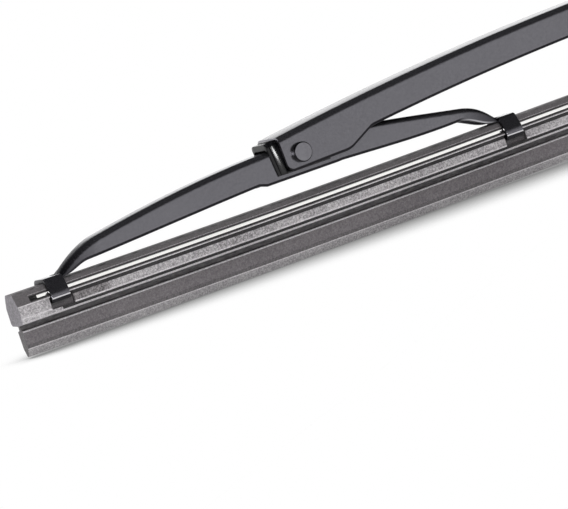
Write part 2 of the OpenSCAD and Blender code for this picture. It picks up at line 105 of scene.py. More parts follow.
LINER_W = YOKE_W + 2 * (LAYER_GAP + LINER_T)
BRIDGE_W = LINER_W + 2 * (LAYER_GAP + BRIDGE_T)
SLEEVE_R, SLEEVE_T, FLARE_R, FLARE_T = 2.4, 0.6, 4.1, 0.6
EAR_R, EAR_RUN = 5.6, 9.0
WINDOW_L, WINDOW_R = 32.0, 1.2


# Materials
def srgb(*c):
    """Linear colour with alpha, from screen levels up to 255."""
    return tuple((v / 255 / 12.92) if v <= 10 else ((v / 255 + 0.055) / 1.055) ** 2.4 for v in c) + (1,)


def lifted(tone, levels):
    """Tone made lighter by some screen levels."""
    return tuple(v + levels for v in tone)


class Tree:
    """Small helper round a node tree."""

    def __init__(self, tree):
        self.tree = tree

    def new(self, kind, **values):
        n = self.tree.nodes.new(kind)
        for k, v in values.items():
            setattr(n, k, v)
        return n

    def link(self, a, b):
        self.tree.links.new(a, b)

    def ramp(self, fac, stops):
        """Colour through stops of (position, colour)."""
        r = self.new("ShaderNodeValToRGB")
        e = r.color_ramp.elements
        e[0].position, e[0].color = stops[0]
        e[1].position, e[1].color = stops[-1]
        for pos, col in stops[1:-1]:
            e.new(pos).color = col
        self.link(fac, r.inputs[0])
        return r.outputs[0]

    def mixed(self, fac, a, b):
        """Colour a at fac 0 and b at 1. Each of the three is a value or a socket."""
        m = self.new("ShaderNodeMix", data_type="RGBA")
        for value, socket in ((fac, m.inputs[0]), (a, m.inputs[6]), (b, m.inputs[7])):
            if isinstance(value, (int, float, tuple)):
                socket.default_value = value
            else:
                self.link(value, socket)
        return m.outputs[2]

    def spread(self, fac, low, high, start=0.0, end=1.0):
        """Value from low to high while fac goes from start to end."""
        m = self.new("ShaderNodeMapRange")
        for socket, value in (("From Min", start), ("From Max", end), ("To Min", low), ("To Max", high)):
            m.inputs[socket].default_value = value
        self.link(fac, m.inputs["Value"])
        return m.outputs[0]

    def either(self, fac, a, b):
        """Shader a at fac 0 and b at 1."""
        m = self.new("ShaderNodeMixShader")
        for value, socket in zip((fac, a, b), m.inputs):
            self.link(value, socket)
        return m.outputs[0]


class Nodes(Tree):
    """Node tree of one new material."""

    def __init__(self, name):
        self.mat = bpy.data.materials.new(name)
        self.mat.use_nodes = True
        super().__init__(self.mat.node_tree)
        self.bsdf = self.tree.nodes["Principled BSDF"]
        self.at = self.new("ShaderNodeTexCoord").outputs["Object"]

    def noise(self, scale, detail=2.0, rough=0.5, stretch=(1, 1, 1)):
        """Noise around 0.5, with scale in waves per metre."""
        m = self.new("ShaderNodeMapping")
        m.inputs["Scale"].default_value = stretch
        self.link(self.at, m.inputs["Vector"])
        n = self.new("ShaderNodeTexNoise")
        n.inputs["Scale"].default_value = scale
        n.inputs["Detail"].default_value = detail
        n.inputs["Roughness"].default_value = rough
        self.link(m.outputs[0], n.inputs["Vector"])
        return n.outputs["Fac"]

    def between(self, fac, low, high, half):
        """One tone to the other while a noise goes from half below its middle to half above."""
        return self.ramp(fac, [(0.5 - half, srgb(*low)), (0.5 + half, srgb(*high))])

    def noted(self, name):
        """A number that note() has stored at the vertices."""
        return self.new("ShaderNodeAttribute", attribute_name=name).outputs["Fac"]

    def bump(self, *heights):
        """Chain of (height, strength, distance)."""
        last = None
        for height, strength, distance in heights:
            b = self.new("ShaderNodeBump")
            b.inputs["Strength"].default_value = strength
            b.inputs["Distance"].default_value = distance
            self.link(height, b.inputs["Height"])
            if last is not None:
                self.link(last, b.inputs["Normal"])
            last = b.outputs[0]
        self.link(last, self.bsdf.inputs["Normal"])


PAINTED_SHADE_TONE, PAINTED_HIGHLIGHT_TONE = (52, 51, 55), (190, 189, 194)


def paint(name, tone, rough, grain=1.0):
    """Glossy graphite stove paint on sheet steel, with fine orange peel and faint cloudy gloss; the vertices
    add painted shade near the claws and a painted highlight.
    """
    n = Nodes(name)
    b = n.bsdf
    b.inputs["Metallic"].default_value = 0.92
    fine, peel, cloud = n.noise(2600, 2), n.noise(900, 3), n.noise(60, 3)
    col = n.between(fine, lifted(tone, -7), lifted(tone, 8), 0.25)
    col = n.mixed(0.18, col, n.between(cloud, lifted(tone, -9), lifted(tone, 7), 0.2))
    # painted shade towards the claws
    col = n.mixed(n.noted("painted_neck_shade"), col, srgb(*PAINTED_SHADE_TONE))
    # painted highlight on the inner gooseneck's lower edge
    n.link(n.mixed(n.noted("painted_edge_highlight"), col, srgb(*PAINTED_HIGHLIGHT_TONE)), b.inputs["Base Color"])
    n.link(n.spread(cloud, rough - 0.03, rough + 0.04), b.inputs["Roughness"])
    n.bump((peel, 0.10 * grain, 0.0004), (fine, 0.05 * grain, 0.0002))
    return n.mat


def rubber(name, low, high, rough, grain, contrast=0.1, scale=1.0, stretch=(1, 1, 1), worn=None):
    """Moulded rubber: speckled grey bloom over a dull ground, in the two tones of worn where rubbed."""
    n = Nodes(name)
    b = n.bsdf
    b.inputs["Specular IOR Level"].default_value = 0.35
    spots, fine = n.noise(2900 * scale, 4, 0.75, stretch), n.noise(4600 * scale, 3, 0.7, stretch)
    cloud, long = n.noise(90, 3, 0.6, (1, 1, 2)), n.noise(28, 2)
    middle = tuple((a + c) / 2 for a, c in zip(low, high))
    stops = [(0.5 - contrast, srgb(*low)), (0.5, srgb(*middle)), (0.5 + contrast, srgb(*high))]
    col = n.ramp(spots, stops)
    col = n.mixed(0.35, col, n.between(fine, low, high, contrast))
    col = n.mixed(0.14, col, n.between(cloud, low, high, 0.15))
    col = n.mixed(0.12, col, n.between(long, low, high, 0.1))
    if worn:
        col = n.mixed(n.noted("rubbed"), col, n.between(spots, worn[0], worn[1], contrast))
    n.link(col, b.inputs["Base Color"])
    n.link(n.spread(spots, rough - 0.06, rough + 0.08), b.inputs["Roughness"])
    n.bump((spots, grain, 0.0002), (fine, grain * 0.5, 0.0001))
    return n.mat


def metal(name, tone, rough, stretch):
    """Bare or plated steel with fine drawing marks."""
    n = Nodes(name)
    b = n.bsdf
    b.inputs["Metallic"].default_value = 1.0
    drawn, cloud = n.noise(1800, 3, 0.6, stretch), n.noise(120, 2)
    n.link(n.between(drawn, lifted(tone, -14), tone, 0.2), b.inputs["Base Color"])
    n.link(n.spread(cloud, rough - 0.04, rough + 0.06), b.inputs["Roughness"])
    n.bump((drawn, 0.06, 0.0002))
    return n.mat


def plastic(name, tone, rough):
    """Smooth moulded plastic with a faint grain."""
    n = Nodes(name)
    b = n.bsdf
    b.inputs["Specular IOR Level"].default_value = 0.35
    cloud, fine = n.noise(160, 2), n.noise(1400, 2)
    n.link(n.between(cloud, tone, lifted(tone, 8), 0.2), b.inputs["Base Color"])
    n.link(n.spread(fine, rough - 0.03, rough + 0.05), b.inputs["Roughness"])
    n.bump((fine, 0.03, 0.0002))
    return n.mat


FRAME = paint("stove_paint", (109, 108, 113), 0.2)
# painted shade: a near-black copy of the paint for rims, insides, the claws' turned-under parts and the
# rivets' rims
SHADED = paint("stove_paint_painted_shade", (36, 35, 38), 0.3)
CLAW = paint("stove_paint_claw", (100, 99, 104), 0.16)
# painted highlight: a light copy of the paint for the line along each claw's lower bend
GLINT = paint("stove_paint_painted_glint", (206, 205, 208), 0.2)
RIVET = paint("rivet_paint_rolled", (121, 120, 125), 0.27, 2.2)
LINER = plastic("liner_black", (10, 10, 12), 0.19)
RAIL = metal("rail_bright", (252, 251, 249), 0.12, (0.02, 1, 1))
SLEEVE = metal("sleeve_plated", (176, 176, 181), 0.28, (1, 1, 1))

# Surfaces of the rubber, numbered in the order of its materials
S_SMOOTH, S_BAND, S_BODY, S_BEVEL, S_PAINTED_SHADE, S_PAINTED_HIGHLIGHT, S_END, S_END_PAINTED_SHADE, S_LOW, S_SHADE_LINE = range(10)
RUBBER = [
    rubber("rubber_smooth", (78, 75, 77), (106, 102, 104), 0.5, 0.1),
    rubber("rubber_frosted", (74, 71, 73), (222, 218, 221), 0.6, 0.35, 0.11,
           worn=((74, 71, 72), (150, 146, 148))),
    rubber("rubber_body", (82, 78, 81), (133, 128, 131), 0.5, 0.16),
    rubber("rubber_ground", (98, 95, 97), (206, 203, 205), 0.6, 0.25, 0.12),
    # painted shade: darker rubber for the web, the pockets, the faces of short steps and the top's corner
    rubber("rubber_painted_shade", (50, 48, 49), (124, 121, 123), 0.6, 0.2, 0.1, 0.8, (0.2, 1, 1)),
    # painted highlight: light rubber for the thin lines along the section's corners
    rubber("rubber_painted_highlight", (160, 156, 159), (232, 228, 231), 0.45, 0.08),
    rubber("rubber_cut", (88, 85, 90), (158, 154, 160), 0.5, 0.2, 0.12, 0.6),
    # painted shade: darker rubber for the body's end, set back under the head
    rubber("rubber_cut_painted_shade", (62, 60, 61), (128, 125, 127), 0.6, 0.2),
    rubber("rubber_body_low", (68, 65, 67), (118, 114, 116), 0.5, 0.16),
    # painted shade: near-black rubber for the fine dark lines, the slot's gap and under the rail
    rubber("rubber_painted_line_shade", (26, 25, 26), (58, 56, 57), 0.6, 0.1, 0.1, 0.8, (0.3, 1, 1)),
]


# Mesh helpers
def put(name, verts, faces, mats, index=None, sharp=32):
    """Mesh object from millimetre points above the lip."""
    v = np.asarray(verts, float) - np.array([0, 0, SLEEVE_Z])
    me = bpy.data.meshes.new(name)
    me.from_pydata([tuple(p) for p in v * MM], [], faces)
    for m in mats:
        me.materials.append(m)
    if index is not None:
        me.polygons.foreach_set("material_index", index)
    me.validate()
    bm = bmesh.new()
    bm.from_mesh(me)
    bmesh.ops.remove_doubles(bm, verts=bm.verts, dist=1e-7)
    bmesh.ops.recalc_face_normals(bm, faces=bm.faces)
    bm.to_mesh(me)
    bm.free()
    smooth(me, sharp)
    ob = bpy.data.objects.new(name, me)
    bpy.context.scene.collection.objects.link(ob)
    return ob


def smooth(me, sharp=32):
    """Smooth shading, but for edges that turn by more than sharp degrees."""
    me.polygons.foreach_set("use_smooth", [True] * len(me.polygons))
    me.set_sharp_from_angle(angle=math.radians(sharp))


def apply_modifiers(ob):
    """Turns the result of an object's modifiers into its mesh."""
    dg = bpy.context.evaluated_depsgraph_get()
    me = bpy.data.meshes.new_from_object(ob.evaluated_get(dg))
    ob.modifiers.clear()
    ob.data = me
    smooth(me)
    return ob


def bevelled(ob, width, segments, angle):
    """Rounds the edges that turn by more than angle degrees."""
    m = ob.modifiers.new("edge", "BEVEL")
    m.width, m.segments = width * MM, segments
    m.limit_method, m.angle_limit = "ANGLE", math.radians(angle)
    return apply_modifiers(ob)


def cut(ob, tool, kind="DIFFERENCE"):
    """Boolean with a tool that is removed afterwards."""
    m = ob.modifiers.new("cut", "BOOLEAN")
    m.operation, m.solver, m.object = kind, "EXACT", tool
    apply_modifiers(ob)
    bpy.data.objects.remove(tool)
    return ob


def joined(name, *obs):
    """One object of several, named after the whole."""
    bpy.ops.object.select_all(action="DESELECT")
    for o in obs:
        o.select_set(True)
    bpy.context.view_layer.objects.active = obs[0]
    bpy.ops.object.join()
    obs[0].name = name
    obs[0].data.name = name
    return obs[0]


def skin(rings):
    """Points of closed rings, and the faces between one ring and the next."""
    n = len(rings[0])
    verts = [p for r in rings for p in r]
    faces = []
    for i in range(len(rings) - 1):
        for j in range(n):
            a, b = i * n + j, i * n + (j + 1) % n
            faces.append((a, b, b + n, a + n))
    return verts, faces


def loft(name, rings, mats, seg_mats=None, sharp=32, cap_mat=0, folded_sheet=True):
    """Closed rings of 3-D points, joined in order. A folded sheet's ends are closed by strips."""
    n = len(rings[0])
    verts, faces = skin(rings)
    index = (seg_mats or [0] * n) * (len(rings) - 1)
    last = (len(rings) - 1) * n
    if folded_sheet:
        for j in range(n // 2 - 1):
            k = n - 1 - j
            faces += [(j, j + 1, k - 1, k), (last + k, last + k - 1, last + j + 1, last + j)]
            index += [cap_mat, cap_mat]
    else:
        faces += [tuple(range(n)), tuple(last + k for k in reversed(range(n)))]
        index += [cap_mat, cap_mat]
    return put(name, verts, faces, mats, index, sharp)


def note(ob, name, amount):
    """Stores a number from 0 to 1 at each vertex, for the materials to read."""
    a = ob.data.attributes.new(name, "FLOAT", "POINT")
    a.data.foreach_set("value", [amount(v.co / MM) for v in ob.data.vertices])
    return ob


def lathe(name, profile, centre, mats, steps, sharp=32):
    """Closed profile of (radius, y) points turned about an axis along Y through centre (x, z)."""
    rings, n = [], len(profile)
    for g in (2 * math.pi * i / steps for i in range(steps)):
        rings.append([(centre[0] + r * math.cos(g), y, centre[1] + r * math.sin(g)) for r, y in profile])
    verts, faces = skin(rings)
    last = (steps - 1) * n
    for j in range(n):
        after = (j + 1) % n
        faces.append((last + j, last + after, after, j))
    return put(name, verts, faces, mats, None, sharp)


def arc(cx, cy, r, a0, a1, steps):
    """Points on a circle from angle a0 to angle a1 in degrees."""
    turns = [math.radians(a0 + (a1 - a0) * i / steps) for i in range(steps + 1)]
    return [(cx + r * math.cos(g), cy + r * math.sin(g)) for g in turns]


def filleted(points, steps=10):
    """Open path of (x, y, r) whose inner corners are rounded by r."""
    out = [points[0][:2]]
    for a, p, b in zip(points, points[1:], points[2:]):
        corner, before, after = (Vector(q[:2]) for q in (p, a, b))
        u, v = (before - corner).normalized(), (after - corner).normalized()
        half = math.acos(max(-1, min(1, u.dot(v)))) / 2
        if p[2] <= 0 or half > math.radians(89.5):
            out.append(p[:2])
            continue
        c = corner + (u + v).normalized() * p[2] / math.sin(half)
        s = corner + u * p[2] / math.tan(half) - c
        e = corner + v * p[2] / math.tan(half) - c
        turn = math.atan2(s.x * e.y - s.y * e.x, s.dot(e))
        for g in np.linspace(0, turn, steps + 1):
            sin, cos = math.sin(g), math.cos(g)
            out.append((c.x + s.x * cos - s.y * sin, c.y + s.x * sin + s.y * cos))
    out.append(points[-1][:2])
    return out


def folded(w, top, low, t, r, roof=None, edge=0.22, rim=0.3):
    """Section of a folded sheet as (y, z): outer face from +y to -y, then the inner face back.
    The lower wall edges are softly rounded, with a rim of their own above them."""
    roof = top - t if roof is None else roof
    r = min(r, (top - low) * 0.9, w * 0.95)
    ri = max(0.03, min(r - t, (roof - low) * 0.9))
    e = min(edge, t * 0.45, max(0.02, (roof - low) * 0.4))
    k = e * (1 - math.sqrt(0.5))

    def half(wall, inward, high, corner):
        rise = high - corner - low - e
        side = [(wall - inward * e, low), (wall - inward * k, low + k), (wall, low + e),
                (wall, low + e + min(rim, rise * 0.4)), (wall, low + e + rise * 0.7)]
        return side + arc(wall - corner, high - corner, corner, 0, 90, 8)

    out, inn = half(w, 1, top, r), half(w - t, -1, roof, ri)
    return (out + [(-y, z) for y, z in reversed(out)]
            + list(reversed(inn + [(-y, z) for y, z in reversed(inn)])))


def sheet_mats(n):
    """Materials of the segments of such a section: 0 outside above the rims, 1 on rims and inside, in painted
    shade.
    """
    side = [1] * 3 + [0] * (n // 4 - 4)
    face = side + [0] + side[::-1]
    return face + [1] * (len(face) + 2)


def cubic(x, x0, z0, s0, x1, z1, s1):
    """Cubic that leaves (x0, z0) with slope s0 and arrives at (x1, z1) with slope s1."""
    h = x1 - x0
    t = (x - x0) / h
    return (z0 * (2 * t ** 3 - 3 * t ** 2 + 1) + s0 * h * (t ** 3 - 2 * t ** 2 + t)
            + z1 * (3 * t ** 2 - 2 * t ** 3) + s1 * h * (t ** 3 - t ** 2))


# Yokes, with x from the pivot: the outer arm on the negative side
CLAW_ROUND = 0.2                                      # rounding of the strip's edges
# band of the claw's painted highlight, measured up from its lowest face
LIT_LOW, LIT_HIGH = 0.72, 1.0                         # the claw's bright bend, above its lowest face
# painted shade: the neck's paint is mixed towards a dark tone near each claw
NECK_SHADE_L = 9.0                                    # the neck is darker up to here from its claw
# where the painted highlight runs along the inner gooseneck's lower edge, and its greatest strength
NECK_LIT_X, NECK_LIT_L, NECK_LIT_MOST = 0.5, 8.5, 0.9


def arm(x):
    """Values of the arm that reaches to this side of the pivot."""
    return OUTER if x < 0 else INNER


def from_claw(x):
    """Distance along the arm from the claw's near side."""
    return arm(x).length - abs(x) - CLAW_W / 2


def yoke_top(x):
    """Height of the roof: up the neck, then along the arm to the crown at the pivot."""
    d, top = from_claw(x), ROOF_Z + SHEET
    if d < NECK_L:
        return cubic(d, 0, top, arm(x).neck_slope, NECK_L, top + NECK_RISE, ARM_SLOPE)
    pivot = arm(x).length - CLAW_W / 2
    return cubic(d, NECK_L, top + NECK_RISE, ARM_SLOPE, pivot, PIVOT_Z + CROWN_H, 0)


def yoke_low(x):
    """Height of the walls' lower edge, which hangs down in a boss under the pivot."""
    d, a = from_claw(x), arm(x)
    boss = PIVOT_Z - BOSS_DROP + BOSS_SLOPE * max(0, abs(x) - BOSS_L)
    foot, rise_z, end = ROOF_Z + WALL_FOOT, RUBBER_H + a.rise, WALL_RISE_X + a.rise_l
    if d < WALL_RISE_X:
        return min(boss, foot)
    if d < end:
        return min(boss, cubic(d, WALL_RISE_X, foot, 0, end, rise_z, a.slope))
    pivot = a.length - CLAW_W / 2
    return min(boss, cubic(d, end, rise_z, a.slope, pivot, PIVOT_Z - a.drop, a.end_slope))


def yoke_half(x):
    """Half width, which narrows in the neck towards the claw."""
    d = from_claw(x)
    return cubic(d, 0, NECK_W / 2, 0, NECK_L, YOKE_W / 2, 0) if d < NECK_L else YOKE_W / 2


def claw_path():
    """Closed outline of the bent strip as (y, z), from corners given as (y, z, rounding)."""
    t = SHEET
    k = math.sqrt(1 + HEAD_SLOPE ** 2)
    slope_y = RAIL_OUT + RAIL_CLEAR + HEAD_SLOPE * (RAIL_Z + RAIL_T - ROOF_Z)
    bend_z = ROOF_Z - (SIDE_Y - slope_y) / HEAD_SLOPE
    tip_y = HEAD_W / 2 - TIP_REACH
    outside = [(0, ROOF_Z + t, 0), (slope_y + t * k - HEAD_SLOPE * t, ROOF_Z + t, 1.1),
               (SIDE_Y + t, bend_z + t * (k - 1) / HEAD_SLOPE, 3.2), (SIDE_Y + t, TIP_Z - t, 0.9)]
    tip = [(tip_y, TIP_Z - t, 0.12), (tip_y, TIP_Z, 0.12)]
    inside = [(SIDE_Y, TIP_Z, 0.1), (SIDE_Y, bend_z, 2.0), (slope_y, ROOF_Z, 0.25), (0, ROOF_Z, 0)]
    p = filleted(outside + tip + inside)[1:-1]
    return p + [(-y, z) for y, z in reversed(p)]


def claw_strip(x):
    """Bent strip: a painted highlight line where its side turns under, and the turned part in painted shade.
    """
    path = claw_path()
    surface = []
    for a, b in zip(path, path[1:] + path[:1]):
        y, z = (abs(a[0]) + abs(b[0])) / 2, (a[1] + b[1]) / 2 - (TIP_Z - SHEET)
        # 0 plain paint, 1 painted shade on the turned part, 2 painted highlight on the bend
        if z >= LIT_HIGH or y <= SIDE_Y + 0.3 and z >= 0.05:
            surface.append(0)
        else:
            surface.append(2 if z > LIT_LOW else 1)
    rings = [[(x + s, y, z) for y, z in path] for s in (-CLAW_W / 2, 0, CLAW_W / 2)]
    ob = loft("claw", rings, [CLAW, SHADED, GLINT], surface, cap_mat=1, folded_sheet=False)
    return bevelled(ob, CLAW_ROUND, segments=3, angle=60)


def painted_edge_highlight(p):
    """Strength of the painted highlight at a point: on the lower edge of the inner gooseneck, from 0 to full
    and back.
    """
    d = from_claw(p.x) - NECK_LIT_X
    low = p.z + SLEEVE_Z < yoke_low(p.x) + 0.27 and abs(p.y) > yoke_half(p.x) - 0.2
    if not low or p.x <= 0 or not 0 < d < NECK_LIT_L:
        return 0.0
    return NECK_LIT_MOST * math.sin(math.pi * d / NECK_LIT_L)


def painted_neck_shade(p):
    """How much painted shade darkens a point of the neck, from 1 at the claw to 0."""
    return min(1, max(0, 1 - from_claw(p.x) / NECK_SHADE_L)) ** 0.8


def at_pivot(ob, side, sharp=32):
    """Moves a piece made about the left pivot to its side, mirrored on the right."""
    if side > 0:
        ob.data.transform(Matrix.Scale(-1, 4, (1, 0, 0)))
        ob.data.flip_normals()
    ob.data.transform(Matrix.Translation((side * PIVOT_X * MM, 0, 0)))
    smooth(ob.data, sharp)
    return ob


def yoke_stations(a, b, overlap=1.2, fine=0.5, coarse=1.5):
    """From claw to claw: close together in the necks and round the pivot, and a little into the claws."""
    necks = [np.arange(a, a + NECK_L, fine), np.arange(b - NECK_L, b, fine)]
    arms = [np.arange(a + NECK_L, -BOSS_L - 0.4, coarse), np.arange(BOSS_L + 1, b - NECK_L - 0.4, coarse)]
    pivot = np.arange(-BOSS_L, BOSS_L + 0.01, fine)
    return np.concatenate([[a - overlap], necks[0], arms[0], pivot, arms[1], necks[1], [b, b + overlap]])


def yoke_shell(name, side):
    """Folded channel that runs out into two goosenecks, with a claw at either end."""
    a, b = -OUTER.length + CLAW_W / 2, INNER.length - CLAW_W / 2
    rings = []
    for x in yoke_stations(a, b):
        c = min(max(x, a), b)
        top, slope = yoke_top(c), (yoke_top(min(b, c + 0.05)) - yoke_top(max(a, c - 0.05))) / 0.1
        roof = top - min(SHEET * math.sqrt(1 + slope ** 2), top - ROOF_Z)
        low = min(yoke_low(c), roof - 0.1)
        rings.append([(x, y, z) for y, z in folded(yoke_half(c), top, low, SHEET, YOKE_R, roof, edge=0.25)])
    shell = loft("shell", rings, [FRAME, SHADED], sheet_mats(len(rings[0])))
    note(shell, "painted_neck_shade", painted_neck_shade)
    note(shell, "painted_edge_highlight", painted_edge_highlight)
    ob = joined(name, shell, claw_strip(-OUTER.length), claw_strip(INNER.length))
    at_pivot(ob, side)
    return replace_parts(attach(ob, name.split("_shell")[0]), name.split("_shell")[0])


# Bridge
BOX_FACES = [(0, 1, 3, 2), (4, 6, 7, 5), (0, 4, 5, 1), (2, 3, 7, 6), (0, 2, 6, 4), (1, 5, 7, 3)]
BEYOND = 60.0                                         # how far a cutter reaches past what it cuts
UNCUT_END = math.asin((PIVOT_X + BRIDGE_PAST + 2.0) / BRIDGE_R)


def span_low(x):
    """Height of the arch's lower edge between ear and cheek."""
    return ARC_Z + math.sqrt((BRIDGE_R - BRIDGE_DEPTH) ** 2 - x * x)


def bridge_lower():
    """Lower edge of the right half as angle and radius about the arc's centre, from corners
    given as (x, z, rounding)."""
    root = EAR_R + EAR_RUN
    flat, end = PIVOT_X - CHEEK_L, PIVOT_X + BRIDGE_PAST
    span = flat - CHEEK_RUN
    ear = [(0, SLEEVE_Z - EAR_R, 0), (EAR_R, SLEEVE_Z - EAR_R, 5), (root, span_low(root), 8)]
    arch = [(x, span_low(x), 0) for x in [*np.arange(root + 4.5, span - 3, 3.0), span - 3]]
    cheek = [(span, span_low(span), 3.5), (flat, CHEEK_Z + CHEEK_RISE, 5), (end, CHEEK_Z, 1.5),
             (end + 5 * math.tan(BRIDGE_LEAN), CHEEK_Z + 5, 0)]
    path = filleted(ear + arch + cheek, 12)[:-1]
    path = [(math.atan2(x, z - ARC_Z), math.hypot(x, z - ARC_Z)) for x, z in path]
    angle = np.array([p[0] for p in path])
    keep = np.concatenate([[True], np.diff(np.maximum.accumulate(angle)) > 1e-7])
    return angle[keep], np.array([p[1] for p in path])[keep]


def box_tool(corner):
    """Six-sided cutter: corner(sx, sy, sz) gives the point for each triple of signs."""
    verts = [corner(sx, sy, sz) for sx in (-1, 1) for sy in (-1, 1) for sz in (-1, 1)]
    return put("tool", verts, BOX_FACES, [FRAME])


def leaning_ends(sx, sy, sz):
    """Corner of the block that the bridge is trimmed to."""
    z = BRIDGE_TOP + BEYOND if sz > 0 else CHEEK_Z - BEYOND
    x = PIVOT_X + BRIDGE_PAST + (z - CHEEK_Z) * math.tan(BRIDGE_LEAN)
    return sx * x, sy * BRIDGE_W, z


def window(sx, sy, sz):
    """Corner of the block that is cut out of the roof."""
    y = BRIDGE_W / 2 - BRIDGE_T - 0.02
    return sx * WINDOW_L / 2, sy * y, BRIDGE_TOP + (2.0 if sz > 0 else -1.9)


def bevel_upright(box, radius):
    """Rounds the upright edges of a cutter."""
    bm = bmesh.new()
    bm.from_mesh(box.data)
    up = [e for e in bm.edges if (e.verts[0].co - e.verts[1].co).xy.length < 1e-6]
    bmesh.ops.bevel(bm, geom=up, offset=radius * MM, segments=6, profile=0.5, affect="EDGES")
    bm.to_mesh(box.data)
    bm.free()
    return box


def bridge_shell():
    """Arched channel with slanting ends, a window in its roof and the sleeve's bore."""
    angle, radius = bridge_lower()
    grid = sorted(set(np.round(np.concatenate([angle, np.linspace(0, UNCUT_END, 60)]), 8)))
    grid = [g for g in grid if g <= UNCUT_END]
    rings = []
    for g in [-g for g in reversed(grid)] + grid[1:]:
        low = float(np.interp(abs(g), angle, radius)) - BRIDGE_R
        sec = folded(BRIDGE_W / 2, 0.0, low, BRIDGE_T, BRIDGE_EDGE, edge=0.25)
        sin, cos = math.sin(g), math.cos(g)
        rings.append([((BRIDGE_R + z) * sin, y, ARC_Z + (BRIDGE_R + z) * cos) for y, z in sec])
    ob = loft("bridge_shell", rings, [FRAME, SHADED], sheet_mats(len(rings[0])))
    cut(ob, box_tool(leaning_ends), "INTERSECT")
    cut(ob, bevel_upright(box_tool(window), WINDOW_R))
    bore = SLEEVE_R + SLEEVE_T
    cut(ob, lathe("tool", [(0.001, -9), (bore, -9), (bore, 9), (0.001, 9)], (0, SLEEVE_Z), [FRAME], steps=64))
    bevelled(ob, width=0.12, segments=2, angle=55)
    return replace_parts(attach(ob, "bridge"), "primary_bridge")


# Liners, rivets, sleeve
BEAD_R, BEAD_FLAT_R = 1.04, 3.0                       # radii, the second where it takes the light
BEAD_LEAN, BEAD_UP = 0.15, 0.8                        # lean inwards per millimetre up, rise of the roof
BEAD_SEAT = -BRIDGE_PAST - 0.55                       # inner end of the bead, just before the bridge
BEAD_CROWN = -0.12                                    # its widest place stands this far out
BEAD_THIN, ROOF_DROP = 0.12, 0.12                     # thinnest wall, and the most that the roof sinks there


def bead_profile(s, inset):
    """Stations (s, inset) of the rolled end, outermost first."""
    out = [(s, inset)]
    for g in range(5, 59, 3):
        step = (BEAD_FLAT_R if 20 < g < 30 else BEAD_R) * math.radians(3)
        s -= step * math.cos(math.radians(g))
        inset += step * math.sin(math.radians(g))
        out.append((s, inset))
    return out[::-1]


def liner_stations():
    """(s, inset) along the saddle from its outer end: recess, bead, seat, plain wall."""
    recess = [(-LINER_L, 0.7), (-LINER_L + 0.08, 0.56), (-LINER_L + 0.6, 0.54)]
    seat = [(BEAD_SEAT, BEAD_CROWN + 0.08), (BEAD_SEAT + 0.06, 0.0)]
    plain = [(0.0, 0.0), (LINER_L - 0.3, 0.0), (LINER_L - 0.05, 0.1), (LINER_L, 0.3)]
    return recess + bead_profile(BEAD_SEAT - 0.05, BEAD_CROWN) + seat + plain


def liner_shell(name, side):
    """Saddle whose outer end is rolled to a bead in front of the bridge's end."""
    tilt = math.atan2(PIVOT_X, PIVOT_Z - ARC_Z)
    sin, cos = math.sin(tilt), math.cos(tilt)
    roof = BRIDGE_R - BRIDGE_T - math.hypot(PIVOT_X, PIVOT_Z - ARC_Z) - LAYER_GAP
    rings = []
    for s, inset in liner_stations():
        free = s < BEAD_SEAT - 0.01
        low = (CHEEK_Z - PIVOT_Z - s * sin) / cos
        top = roof + (BEAD_UP if free else 0.0) - min(ROOF_DROP, max(inset, -0.02))
        wall = max(BEAD_THIN, LINER_T - inset - 0.02)
        sec = folded(LINER_W / 2 - inset, top, low, wall, LINER_R, roof - LINER_ROOF_T, edge=0.2)
        lean = BEAD_LEAN if free and s > -LINER_L + 0.65 else 0.0
        sec = [(y - math.copysign(lean * (z + 1), y), z) for y, z in sec]
        rings.append([(s * cos - z * sin, y, PIVOT_Z + s * sin + z * cos) for y, z in sec])
    ob = at_pivot(loft(name, rings, [LINER], sharp=50), side, sharp=50)
    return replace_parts(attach(ob, "bridge"), name.split("_shell")[0])


def rivet_shell(name, side):
    """Rivet whose flat head stands on a rim in painted shade."""
    w, h, r = BRIDGE_W / 2, RIVET_HEAD_H, RIVET_HEAD_R
    shank, edge, rim = 1.25, 0.3, 0.22
    half = [(shank, 0), (shank, w - 0.2), (r, w - 0.02), (r, w + h * 0.5)]
    half += arc(r - edge, w + h - edge, edge, 0, 90, 6) + [(0.9, w + h), (0.002, w + h)]
    profile = half[::-1] + [(q, -y) for q, y in half[1:]]
    ob = lathe(name, profile, (side * PIVOT_X, PIVOT_Z), [RIVET, SHADED], steps=64, sharp=40)
    # the rim round the head gets painted shade
    for poly in ob.data.polygons:
        c = poly.center / MM
        if math.hypot(c.x - side * PIVOT_X, c.z - (PIVOT_Z - SLEEVE_Z)) > r - rim:
            poly.material_index = 1
    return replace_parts(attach(ob, "bridge"), name.split("_shell")[0])


def sleeve_shell():
    """Tube with a rolled flange on either side, its mouth rounded into the bore."""
    w, mouth = BRIDGE_W / 2, 0.7
    r0, r1, face = SLEEVE_R, SLEEVE_R + SLEEVE_T, w + FLARE_T
    out = [(r1, 0), (r1, w - 0.15), (r1 + 0.1, w + 0.001), (FLARE_R - 0.2, w + 0.001)]
    out += arc(FLARE_R - FLARE_T / 2, w + FLARE_T / 2, FLARE_T / 2, -90, 90, 8)
    out += [(r0 + mouth + 0.05, face - 0.02)]
    out += arc(r0 + mouth, face - mouth, mouth, 90, 180, 6) + [(r0, 0)]
    profile = out + [(r, -y) for r, y in reversed(out[1:-1])]
    ob = lathe("sleeve_shell", profile, (0, SLEEVE_Z), [SLEEVE], steps=72, sharp=40)
    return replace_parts(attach(ob, "bridge"), "arm_sleeve")


